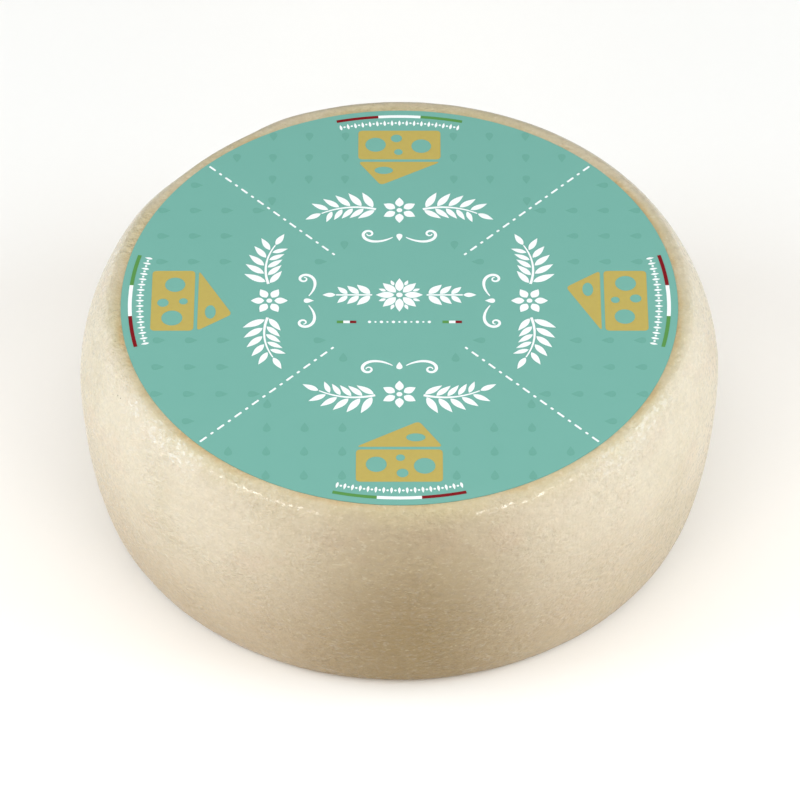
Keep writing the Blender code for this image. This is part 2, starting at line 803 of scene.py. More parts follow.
def rounded_loop(corners: Sequence[Point], radius: float, steps: int = 5) -> Loop:
    """A polygon with its corners rounded off.

    Args:
        corners: The sharp corners in order.
        radius: How far from each corner the rounding starts.
        steps: The number of straight pieces in each rounding.

    Returns:
        The rounded outline.
    """
    outline: Loop = []
    for index, corner in enumerate(corners):
        here = Vector(corner)
        before = Vector(corners[index - 1]) - here
        after = Vector(corners[(index + 1) % len(corners)]) - here
        start = here + before.normalized() * radius
        end = here + after.normalized() * radius
        for step in range(steps + 1):
            share = step / steps
            bend = start * (1 - share) ** 2 + here * 2 * share * (1 - share) + end * share**2
            outline.append((bend.x, bend.y))
    return outline


def arc_loop(inner: float, outer: float, first: float, last: float, count: int = 12) -> Loop:
    """A piece of a ring about the origin.

    Args:
        inner: The ring's inner radius.
        outer: Its outer radius.
        first: The turn at which the piece starts, in radians.
        last: The turn at which it ends.
        count: The number of straight pieces in each side.

    Returns:
        The outline.
    """
    turns = [first + (last - first) * step / count for step in range(count + 1)]
    far = [(outer * math.cos(turn), outer * math.sin(turn)) for turn in turns]
    near = [(inner * math.cos(turn), inner * math.sin(turn)) for turn in reversed(turns)]
    return far + near


def ribbon_loop(path: Sequence[Point], width: Callable[[float], float]) -> Loop:
    """A stroke along a path.

    Args:
        path: The middle of the stroke, point by point.
        width: Gives the stroke's width at a share of its length.

    Returns:
        The outline.
    """
    left: Loop = []
    right: Loop = []
    last = len(path) - 1
    for index, point in enumerate(path):
        ahead = Vector(path[min(index + 1, last)]) - Vector(path[max(index - 1, 0)])
        across = Vector((-ahead.y, ahead.x)).normalized() * width(index / last) / 2
        left.append((point[0] + across.x, point[1] + across.y))
        right.append((point[0] - across.x, point[1] - across.y))
    return left + right[::-1]


def moved(loop: Iterable[Point], x: float = 0.0, y: float = 0.0, turn: float = 0.0) -> Loop:
    """An outline turned about the origin and then moved."""
    cos, sin = math.cos(turn), math.sin(turn)
    return [(x + px * cos - py * sin, y + px * sin + py * cos) for px, py in loop]


def mirrored(loop: Iterable[Point]) -> Loop:
    """An outline flipped left to right."""
    return [(-x, y) for x, y in reversed(list(loop))]


@dataclass(frozen=True)
class Press:
    """Lays thin solid shapes of ink on the label."""

    centre: Vector
    paper_top: float
    thickness: float = 0.05 * MM
    bite: float = 0.02 * MM

    def plate(self, name: str, loops: Sequence[Loop]) -> bpy.types.Object:
        """Makes a flat solid about the origin; a loop inside another is a hole in it.

        Args:
            name: The piece's name.
            loops: The outlines.

        Returns:
            The new object, on the label's own plane.
        """
        curve = bpy.data.curves.new(name, "CURVE")
        curve.dimensions = "2D"
        curve.fill_mode = "BOTH"
        curve.extrude = (self.thickness + self.bite) / 2
        for loop in loops:
            spline = curve.splines.new("POLY")
            spline.points.add(len(loop) - 1)
            for point, (x, y) in zip(spline.points, loop):
                point.co = (x, y, 0.0, 1.0)
            spline.use_cyclic_u = True
        drawn = linked(name + "_drawing", curve)
        mesh = evaluated_mesh(drawn)
        bpy.data.objects.remove(drawn, do_unlink=True)
        mesh.name = name
        form = bmesh.new()
        form.from_mesh(mesh)
        bmesh.ops.remove_doubles(form, verts=form.verts, dist=HAIR)
        bmesh.ops.recalc_face_normals(form, faces=form.faces)
        form.to_mesh(mesh)
        form.free()
        return linked(name, mesh)

    def laid(self, plate: bpy.types.Object, ink: Ink) -> bpy.types.Object:
        """Moves a plate's mesh on to the paper and gives it its ink.

        Args:
            plate: The plate, about the origin.
            ink: Its ink.

        Returns:
            The plate, finished.
        """
        middle = self.paper_top + (self.thickness - self.bite) / 2
        plate.data.transform(Matrix.Translation((self.centre.x, self.centre.y, middle)))
        plate.data.materials.clear()
        plate.data.materials.append(InkFinish(ink).material())
        return plate

    def repeated(
        self,
        plate: bpy.types.Object,
        ink: Ink,
        tree: GeometryTree,
        row: Signal,
    ) -> bpy.types.Object:
        """Repeats what a tree makes of a plate in all four quarters and lays it.

        Args:
            plate: The plate, about the origin.
            ink: Its ink.
            tree: The tree that takes the plate in.
            row: What the tree makes of it in the front quarter.

        Returns:
            The plate, finished.
        """
        return self.laid(tree.run_on(plate, tree.in_quarters(row), InkFinish(ink).material()), ink)

    def in_quarters(self, plate: bpy.types.Object, ink: Ink) -> bpy.types.Object:
        """Repeats a front-quarter plate in all four quarters and lays it."""
        tree = GeometryTree(f"{plate.name}_in_quarters")
        return self.repeated(plate, ink, tree, tree.shape())


def report_piece(piece: bpy.types.Object, slot: Slot, stands_for: str | None = None) -> bpy.types.Object:
    """Rides a finished piece on the wheel and logs it.

    Args:
        piece: The finished object, at the origin.
        slot: The slot for its finish; not used.
        stands_for: The construction's node that it replaces, if any.

    Returns:
        The piece.
    """
    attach(piece, BODY)
    if stands_for:
        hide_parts(stands_for)
    LOG.info("%s: %d faces", piece.name, len(piece.data.polygons))
    return piece


# The wheel of cheese


@dataclass
class Rind:
    """The whole outer skin of the wheel, turned from the construction's curve and given its relief."""

    radius: float
    height: float
    label_centre: Vector
    label_radius: float
    segments: int = 760
    ring_pitch: float = 0.80 * MM
    flat_rings: int = 7
    tucked_in: float = 2 * MM
    top_flat_share: float = 0.084 / 0.095
    base_flat_share: float = 0.088 / 0.095
    girth_share: float = 0.042 / 0.0695
    top_run_share: float = 0.0040 / 0.095
    base_run_share: float = 0.0035 / 0.095
    girth_run_up_share: float = 0.010 / 0.0695
    girth_run_down_share: float = 0.020 / 0.0695
    swells: tuple[tuple[int, float, float], ...] = (
        (2, 0.10, 0.20 * MM),
        (4, 0.35, 0.12 * MM),
        (6, 0.70, 0.08 * MM),
    )
    curve_points: int = 400
    relief_start: float = 0.9 * MM
    relief_fade: float = 3 * MM
    base_relief: float = 0.1
    ripple_flatness: float = 2.4
    pit_threshold: float = 0.62
    pit_floor: float = 0.03
    pit_edge: float = 0.26
    worn_spot: Place = (-61 * MM, 65 * MM, 66 * MM)
    worn_core: float = 8 * MM
    worn_reach: float = 32 * MM
    relief: dict[str, float] = field(
        default_factory=lambda: {
            "Dent Depth": 0.36 * MM,
            "Dent Scale": 30.0,
            "Ripple Depth": 0.20 * MM,
            "Ripple Scale": 115.0,
            "Pit Depth": 0.14 * MM,
            "Pit Scale": 150.0,
            "Worn Depth": 1.25 * MM,
        }
    )

    def build(self) -> bpy.types.Object:
        """Makes the rind's mesh, presses its relief into it and dresses it."""
        material = RindFinish(self.label_centre, self.label_radius, self.height).material()
        return self._pressed(self._turned(), material)

    def _outline(self) -> list[Vector]:
        """The turned part of the half outline.

        Returns:
            Its points, from the top flat's edge to the base flat's edge.
        """
        outward = Vector((1.0, 0.0, 0.0))
        upward = Vector((0.0, 0.0, 1.0))
        top_edge = Vector((self.radius * self.top_flat_share, 0.0, self.height))
        girth = Vector((self.radius, 0.0, self.height * self.girth_share))
        base_edge = Vector((self.radius * self.base_flat_share, 0.0, 0.0))
        shoulder = interpolate_bezier(
            top_edge,
            top_edge + outward * self.radius * self.top_run_share,
            girth + upward * self.height * self.girth_run_up_share,
            girth,
            self.curve_points,
        )
        flank = interpolate_bezier(
            girth,
            girth - upward * self.height * self.girth_run_down_share,
            base_edge + outward * self.radius * self.base_run_share,
            base_edge,
            self.curve_points,
        )
        return [*shoulder, *flank[1:]]

    def _rings(self) -> list[Point]:
        """Every ring of the mesh: coarse under the label and on the base, fine between them.

        Returns:
            The radius and the height of each.
        """
        covered = self.label_radius - self.tucked_in
        outline = [Vector((covered, 0.0, self.height)), *self._outline()]
        rings = [(covered * step / self.flat_rings, self.height) for step in range(1, self.flat_rings)]
        rings.append((covered, self.height))
        walked = 0.0
        for before, after in zip(outline, outline[1:]):
            run = (after - before).length
            while walked + run >= self.ring_pitch:
                before = before.lerp(after, (self.ring_pitch - walked) / run)
                run = (after - before).length
                walked = 0.0
                rings.append((before.x, before.z))
            walked += run
        edge = self.radius * self.base_flat_share
        rings.append((edge, 0.0))
        rings += [(edge * (1 - step / self.flat_rings), 0.0) for step in range(1, self.flat_rings)]
        return rings

    def _swell(self, turn: float, height: float) -> float:
        """How far the side stands out at a turn, as in the construction."""
        waves = (tall * math.cos(lobes * (turn - math.tau * start)) for lobes, start, tall in self.swells)
        return math.sin(math.pi * height / self.height) * sum(waves)

    def _turned(self) -> bpy.types.Object:
        """Turns the smooth wheel.

        Returns:
            The wheel as one closed mesh, each corner marked with how much relief it takes.
        """
        rings = self._rings()
        corners = [(0.0, 0.0, self.height)]
        relief = [0.0]
        for radius, height in rings:
            depth = self._relief_share(radius, height)
            for turn in turns_round(self.segments):
                out = radius + self._swell(turn, height)
                corners.append((out * math.cos(turn), out * math.sin(turn), height))
                relief.append(depth)
        corners.append((0.0, 0.0, 0.0))
        relief.append(relief[-1])
        mesh = bpy.data.meshes.new("rind")
        mesh.from_pydata(corners, [], self._faces(len(rings)))
        mesh.attributes.new("relief", "FLOAT", "POINT").data.foreach_set("value", relief)
        mesh.shade_smooth()
        return linked("rind", mesh)

    def _faces(self, ring_count: int) -> list[tuple[int, ...]]:
        """Closes the mesh between its rings and round both poles.

        Args:
            ring_count: The number of rings.

        Returns:
            The corners of each face, so that it faces outwards.
        """
        count = self.segments
        last = 1 + ring_count * count
        faces: list[tuple[int, ...]] = [(0, 1 + step, 1 + (step + 1) % count) for step in range(count)]
        for ring in range(ring_count - 1):
            here = 1 + ring * count
            below = here + count
            for step in range(count):
                after = (step + 1) % count
                faces.append((here + step, below + step, below + after, here + after))
        foot = last - count
        faces += [(last, foot + (step + 1) % count, foot + step) for step in range(count)]
        return faces

    def _relief_share(self, radius: float, height: float) -> float:
        """How much of its relief a ring takes.

        Args:
            radius: The ring's radius.
            height: Its height.

        Returns:
            None under the label, all of it on the side, and a little of it on the base.
        """
        if height > self.height - HAIR:
            return min(max((radius - self.label_radius - self.relief_start) / self.relief_fade, 0.0), 1.0)
        return 1.0 if height > HAIR else self.base_relief

    def _pressed(self, wheel: bpy.types.Object, material: bpy.types.Material) -> bpy.types.Object:
        """Presses dents, ripples, pits and one worn place on the shoulder into the wheel, always inwards.

        Args:
            wheel: The smooth wheel.
            material: The rind's material.

        Returns:
            The same object, with its relief.
        """
        tree = GeometryTree("rind_relief")
        size = {name: tree.size(name, value) for name, value in self.relief.items()}
        place = tree.add("GeometryNodeInputPosition")
        named = {"Name": "relief"}
        share = tree.add("GeometryNodeInputNamedAttribute", {"data_type": "FLOAT"}, named, out="Attribute")
        dents = tree.noise(place, size["Dent Scale"], 2.0)
        long = tree.stretched(place, (1.0, 1.0, self.ripple_flatness))
        ripples = tree.noise(long, size["Ripple Scale"], 3.0, 0.75)
        pits = self._pits(tree, place, size["Pit Scale"])
        worn = tree.step(tree.distance(place, self.worn_spot), self.worn_reach, self.worn_core)
        depth = dents * size["Dent Depth"] + ripples * size["Ripple Depth"] + pits * size["Pit Depth"]
        depth = depth + worn * size["Worn Depth"]
        inwards = tree.scaled(tree.add("GeometryNodeInputNormal"), depth * share * -1.0)
        pressed = tree.add("GeometryNodeSetPosition", {}, {"Geometry": tree.shape(), "Offset": inwards})
        return tree.run_on(wheel, pressed, material)

    def _pits(self, tree: GeometryTree, place: Signal, scale: Signal) -> Signal:
        """Small round pits, each in a cell of its own, in some of the cells.

        Args:
            tree: The tree that presses them.
            place: Each corner's position.
            scale: The number of cells in a metre.

        Returns:
            How deep in a pit each corner lies, from 0 to 1.
        """
        values = {"Vector": place, "Scale": scale}
        cells = tree.add("ShaderNodeTexVoronoi", {"feature": "F1"}, values, out="Distance")
        chosen = tree.axis(cells.other("Color"), "X") > self.pit_threshold
        return (1.0 - tree.step(cells, self.pit_floor, self.pit_edge)) * chosen


# The label and its print


@dataclass
class Paper:
    """The round sheet of label paper, with a softly rounded edge, stuck on the rind."""

    centre: Vector
    radius: float
    base: float
    top: float
    edge: float = 0.06 * MM
    segments: int = 256

    def build(self) -> bpy.types.Object:
        """Makes the sheet and dresses it.

        Returns:
            The finished sheet.
        """
        form = bmesh.new()
        disc = bmesh.ops.create_circle(form, cap_ends=True, segments=self.segments, radius=self.radius)
        bmesh.ops.translate(form, verts=disc["verts"], vec=(0.0, 0.0, self.base))
        raised = bmesh.ops.extrude_face_region(form, geom=form.faces[:])
        lifted = [part for part in raised["geom"] if isinstance(part, bmesh.types.BMVert)]
        bmesh.ops.translate(form, verts=lifted, vec=(0.0, 0.0, self.top - self.base))
        rim = [edge for edge in form.edges if all(corner in lifted for corner in edge.verts)]
        bmesh.ops.bevel(form, geom=rim, offset=self.edge, segments=2, affect="EDGES")
        bmesh.ops.translate(form, verts=form.verts, vec=(self.centre.x, self.centre.y, 0.0))
        bmesh.ops.recalc_face_normals(form, faces=form.faces)
        sheet = linked("label_sheet", mesh_of(form, "label_sheet"))
        sheet.data.materials.append(PaperFinish().material())
        return sheet


@dataclass
class CutGuides:
    """The dot-and-dash lines that part the label into quarters, as a guide for cutting the wheel."""

    press: Press
    first: float = 27.1 * MM
    pitch: float = 6.91 * MM
    units: int = 8
    dot: float = 1.05 * MM
    dash: float = 2.65 * MM
    dash_start: float = 2.65 * MM
    width: float = 0.62 * MM
    rounding_share: float = 0.8
    line_turn: float = math.radians(CAMERA_SIDE - 45.0)

    def build(self) -> bpy.types.Object:
        """Makes one dot and dash, and sets them along every line.

        Returns:
            The finished lines.
        """
        bars = [self._bar(0.0, self.dot), self._bar(self.dash_start, self.dash)]
        unit = self.press.plate("cut_guides", bars)
        tree = GeometryTree("guides_along_lines")
        out = tree.size("First Radius", self.first) + tree.size("Pitch", self.pitch) * tree.index()
        place = tree.vector(out * math.cos(self.line_turn), out * math.sin(self.line_turn))
        row = tree.instances(tree.points(self.units, place), tree.shape(), self.line_turn)
        return self.press.repeated(unit, Ink.WHITE, tree, row)

    def _bar(self, start: float, length: float) -> Loop:
        """A short bar with round ends.

        Args:
            start: Where it starts on the X axis.
            length: Its length along +X.

        Returns:
            The outline.
        """
        half = self.width / 2
        end = start + length
        corners = [(start, -half), (end, -half), (end, half), (start, half)]
        return rounded_loop(corners, half * self.rounding_share, 4)


@dataclass
class DropPattern:
    """The tone-on-tone drops, in straight rows in each quarter, kept clear of the motifs.

    Each entry of kept_clear is a half width, and how far from the centre a motif starts and ends.
    """

    press: Press
    label_radius: float
    across: float = 10.88 * MM
    outward: float = 9.38 * MM
    nearest: float = 23.2 * MM
    columns: int = 10
    rows: int = 6
    length: float = 3.7 * MM
    width: float = 2.6 * MM
    rim: float = 1.5 * MM
    guide_gap: float = 3.6 * MM
    kept_clear: tuple[tuple[float, float, float], ...] = (
        (14.0 * MM, 0.0, 30.0 * MM),
        (29.0 * MM, 30.0 * MM, 47.0 * MM),
        (14.0 * MM, 47.0 * MM, 69.0 * MM),
        (14.0 * MM, 69.0 * MM, 73.0 * MM),
        (21.0 * MM, 73.0 * MM, 82.0 * MM),
    )

    def build(self) -> bpy.types.Object:
        """Makes one drop and sets it wherever the quarter leaves room.

        Returns:
            The finished drops.
        """
        drop = self.press.plate("paper_drops", [drop_loop(self.length, self.width)])
        tree = GeometryTree("drops_in_rows")
        across = tree.size("Across", self.across)
        outward = tree.size("Outward", self.outward)
        index = tree.index()
        column = index.math("FLOORED_MODULO", index, self.columns) - (self.columns - 1) / 2
        row = index.math("FLOOR", index / self.columns)
        place = tree.vector(column * across, -1.0 * (row * outward + self.nearest))
        values = {"Geometry": tree.points(self.columns * self.rows, place), "Selection": self._kept(tree)}
        chosen = tree.add("GeometryNodeSeparateGeometry", {"domain": "POINT"}, values)
        drops = tree.instances(chosen, tree.shape(), 0.0)
        return self.press.repeated(drop, Ink.DEEP_TEAL, tree, drops)

    def _kept(self, tree: GeometryTree) -> Signal:
        """Chooses the drops that stay.

        Args:
            tree: The tree that sets them.

        Returns:
            1 where a drop lies in the front quarter, inside the rim and off the motifs.
        """
        x = tree.axis(tree.add("GeometryNodeInputPosition"), "X")
        y = x.other("Y")
        side = x.math("ABSOLUTE", x)
        out = -1.0 * y
        kept = ((x * x + y * y) ** 0.5 < self.label_radius - self.rim) * (side + self.guide_gap < out)
        for half_width, near, far in self.kept_clear:
            kept = kept * (1.0 - (side < half_width) * (out > near) * (out < far))
        return kept


@dataclass
class ArcRow:
    """A row of one small shape along an arc about the label's centre, in every quarter."""

    press: Press
    name: str
    shape: Loop
    ink: Ink
    radius: float
    count: int
    step: float
    first: float

    def build(self) -> bpy.types.Object:
        """Sets the shape along the arc, in every quarter.

        Returns:
            The finished rows.
        """
        unit = self.press.plate(self.name, [self.shape])
        tree = GeometryTree(f"{self.name}_along_arc")
        radius = tree.size("Arc Radius", self.radius)
        turn = tree.index() * tree.size("Step", self.step) + (self.first + math.radians(CAMERA_SIDE))
        place = tree.vector(radius * turn.math("COSINE", turn), radius * turn.math("SINE", turn))
        row = tree.instances(tree.points(self.count, place), tree.shape(), turn)
        return self.press.repeated(unit, self.ink, tree, row)


@dataclass
class Garland:
    """A white laurel garland across each quarter, with a small flower at its middle."""

    press: Press
    distance: float = 37.6 * MM
    branch: tuple[Point, ...] = ((7.0 * MM, -1.0 * MM), (15.5 * MM, -3.4 * MM), (23.2 * MM, 0.8 * MM))
    pairs: int = 5
    inner_start: float = 0.08
    outer_start: float = 0.30
    inner_scale: float = 0.84
    leaf_length: float = 7.2 * MM
    leaf_width: float = 2.35 * MM
    leaf_lean: float = math.radians(50.0)
    leaf_shrink: float = 0.26
    tip_length_share: float = 0.72
    tip_width_share: float = 0.78
    tip_gap: float = 0.25 * MM
    stem_width: float = 0.8 * MM
    stem_thinning: float = 0.55
    stem_steps: int = 20
    leaf_gap: float = 0.16 * MM
    petals: int = 6
    petal_start: float = 1.5 * MM
    petal_length: float = 3.9 * MM
    petal_width: float = 2.5 * MM
    flower_drop: float = 0.6 * MM
    flower_eye: float = 0.85 * MM

    def build(self) -> list[bpy.types.Object]:
        """Makes the garlands.

        Returns:
            The leaves, and the flowers with the branches' stems.
        """
        leaf = self.press.plate("garland_leaves", [leaf_loop(self.leaf_length, self.leaf_width)])
        tree = GeometryTree("leaves_along_branches")
        shrink = tree.size("Shrink", self.leaf_shrink)
        lean = tree.size("Lean", self.leaf_lean)
        rows = [self._row(tree, way, side, lean, shrink) for way in (1.0, -1.0) for side in (1.0, -1.0)]
        leaves = self.press.repeated(leaf, Ink.WHITE, tree, tree.joined(*rows))
        stems = self.press.plate("garland_stems", [*self._stems(), *self._flower()])
        return [leaves, self.press.in_quarters(stems, Ink.WHITE)]

    def _branch_point(self, share: Number, axis: int) -> Number:
        """One coordinate of the right-hand branch at a share of its length."""
        start, bend, end = (point[axis] for point in self.branch)
        return start + share * (2 * (bend - start)) + share * share * (start - 2 * bend + end)

    def _branch_turn(self, share: float) -> float:
        """The branch's direction.

        Args:
            share: Where along its length.

        Returns:
            The turn from +X, in radians.
        """
        (x0, y0), (x1, y1), (x2, y2) = self.branch
        ahead = (x1 - x0) * (1 - share) + (x2 - x1) * share
        aside = (y1 - y0) * (1 - share) + (y2 - y1) * share
        return math.atan2(aside, ahead)

    def _row(self, tree: GeometryTree, way: float, side: float, lean: Signal, shrink: Signal) -> Signal:
        """The leaves on one side of one branch.

        Args:
            tree: The tree that sets them.
            way: 1 for the right-hand branch and -1 for the left-hand one.
            side: 1 for the side nearer the label's centre and -1 for the outer side.
            lean: How far a leaf leans off the branch.
            shrink: How much smaller the last leaf is than the first.

        Returns:
            The row of leaves.
        """
        share = (tree.index() + (self.inner_start if side > 0 else self.outer_start)) * (1 / self.pairs)
        start, end = self._branch_turn(0.0), self._branch_turn(1.0)
        turn = share * (end - start) + start
        off = side * (self.stem_width / 2 + self.leaf_gap)
        x = self._branch_point(share, 0) - turn.math("SINE", turn) * off
        y = self._branch_point(share, 1) + turn.math("COSINE", turn) * off - self.distance
        facing = (turn + lean * side) * way + (0.0 if way > 0 else math.pi)
        size = (1.0 - share * shrink) * (self.inner_scale if side > 0 else 1.0)
        return tree.instances(tree.points(self.pairs, tree.vector(x * way, y)), tree.shape(), facing, size)

    def _stems(self) -> list[Loop]:
        """The two stems, each thinning to a leaf at its end.

        Returns:
            Their outlines.
        """
        path = []
        for step in range(self.stem_steps + 1):
            share = step / self.stem_steps
            path.append((self._branch_point(share, 0), self._branch_point(share, 1) - self.distance))
        stem = ribbon_loop(path, lambda share: self.stem_width * (1.0 - self.stem_thinning * share))
        turn = self._branch_turn(1.0)
        tip = leaf_loop(self.leaf_length * self.tip_length_share, self.leaf_width * self.tip_width_share)
        x, y = path[-1]
        end_leaf = moved(tip, x + self.tip_gap * math.cos(turn), y + self.tip_gap * math.sin(turn), turn)
        return [stem, end_leaf, mirrored(stem), mirrored(end_leaf)]

    def _flower(self) -> list[Loop]:
        """The flower in the middle of the garland.

        Returns:
            The outlines of its petals and its eye.
        """
        petal = moved(leaf_loop(self.petal_length, self.petal_width), x=self.petal_start)
        turns = [math.tau * (step + 0.5) / self.petals for step in range(self.petals)]
        middle = -self.distance - self.flower_drop
        petals = [moved(moved(petal, turn=turn), y=middle) for turn in turns]
        return [*petals, circle_loop(0.0, middle, self.flower_eye, 18)]


@dataclass
class Flourish:
    """A thin pen flourish between the label's middle and each garland."""

    press: Press
    distance: float = 26.6 * MM
    start: float = 2.0 * MM
    length: float = 17.5 * MM
    heading: float = math.radians(34.0)
    bend: float = -1.6
    curl: float = 7.2
    curl_onset: float = 3.4
    width: float = 0.85 * MM
    drop_length: float = 3.0 * MM
    drop_width: float = 2.0 * MM
    points: int = 48

    def build(self) -> bpy.types.Object:
        """Makes two mirrored scrolls and the drop between them, in every quarter.

        Returns:
            The finished flourishes.
        """
        scroll = ribbon_loop(self._scroll(), self._pen)
        drop = moved(drop_loop(self.drop_length, self.drop_width), y=-self.distance)
        plate = self.press.plate("pen_flourishes", [scroll, mirrored(scroll), drop])
        return self.press.in_quarters(plate, Ink.WHITE)

    def _scroll(self) -> list[Point]:
        """The right-hand scroll, which bends gently at first and curls up at its end.

        Returns:
            The points of the stroke's middle.
        """
        x, y, path = self.start, -self.distance, []
        step = self.length / self.points
        for index in range(self.points + 1):
            path.append((x, y))
            share = index / self.points
            turn = self.heading + self.bend * share - self.curl * share**self.curl_onset
            x += step * math.cos(turn)
            y += step * math.sin(turn)
        return path

    def _pen(self, share: float) -> float:
        """The pen's width, thin at both ends."""
        return self.width * (0.30 + 0.80 * math.sin(math.pi * share) ** 0.8)


@dataclass
class CheeseEmblem:
    """A golden wedge of cheese with holes, in each quarter.

    Each hole is given by its middle, its half width and its half height.
    """

    press: Press
    distance: float = 61.4 * MM
    half_width: float = 12.4 * MM
    face_low: float = -11.4 * MM
    face_high: float = 1.2 * MM
    top_low: float = 2.3 * MM
    top_high: float = 12.4 * MM
    peak: float = 5.6 * MM
    rounding: float = 1.4 * MM
    holes: tuple[tuple[float, float, float, float], ...] = (
        (-6.6 * MM, -4.6 * MM, 3.0 * MM, 3.0 * MM),
        (0.9 * MM, -8.0 * MM, 1.7 * MM, 1.7 * MM),
        (7.2 * MM, -5.2 * MM, 3.1 * MM, 3.1 * MM),
        (0.3 * MM, -2.0 * MM, 1.3 * MM, 1.3 * MM),
        (4.7 * MM, 6.0 * MM, 2.8 * MM, 1.6 * MM),
    )

    def build(self) -> bpy.types.Object:
        """Makes the wedge's two faces, with their holes, in every quarter.

        Returns:
            The finished emblems.
        """
        half, low, high = self.half_width, self.face_low, self.face_high
        face = rounded_loop([(-half, low), (half, low), (half, high), (-half, high)], self.rounding)
        slope = [(-half, self.top_low), (half, self.top_low), (self.peak, self.top_high)]
        top = rounded_loop(slope, self.rounding)
        holes = [oval_loop(*hole) for hole in self.holes]
        loops = [moved(loop, y=-self.distance) for loop in (face, top, *holes)]
        return self.press.in_quarters(self.press.plate("cheese_emblems", loops), Ink.GOLD)


@dataclass
class RimStripes:
    """A green, white and red stripe near the rim of each quarter, with a row of beads inside it."""

    press: Press
    inner: float = 78.55 * MM
    outer: float = 79.65 * MM
    half_turn: float = math.radians(13.9)
    bead_radius: float = 76.2 * MM
    bars: int = 17
    bar_step: float = math.radians(1.68)
    bar_length: float = 2.4 * MM
    bar_width: float = 0.8 * MM
    dot_radius: float = 0.36 * MM

    def build(self) -> list[bpy.types.Object]:
        """Makes the stripes and the beads.

        Returns:
            The three stripes and the two kinds of bead.
        """
        third = 2 * self.half_turn / len(STRIPE_INKS)
        pieces = []
        for index, ink in enumerate(STRIPE_INKS):
            first = math.radians(CAMERA_SIDE) - self.half_turn + third * index
            loop = arc_loop(self.inner, self.outer, first, first + third)
            plate = self.press.plate(f"rim_stripes_{ink.name.lower()}", [loop])
            pieces.append(self.press.in_quarters(plate, ink))
        start = -self.bar_step * (self.bars - 1) / 2
        bar = moved(leaf_loop(self.bar_length, self.bar_width, 6), x=-self.bar_length / 2)
        dot = circle_loop(0.0, 0.0, self.dot_radius, 12)
        pieces.append(self._row("bead_bars", bar, self.bars, start))
        pieces.append(self._row("bead_dots", dot, self.bars - 1, start + self.bar_step / 2))
        return pieces

    def _row(self, name: str, shape: Loop, count: int, first: float) -> bpy.types.Object:
        """One kind of bead, evenly spaced along its arc."""
        row = ArcRow(self.press, name, shape, Ink.WHITE, self.bead_radius, count, self.bar_step, first)
        return row.build()


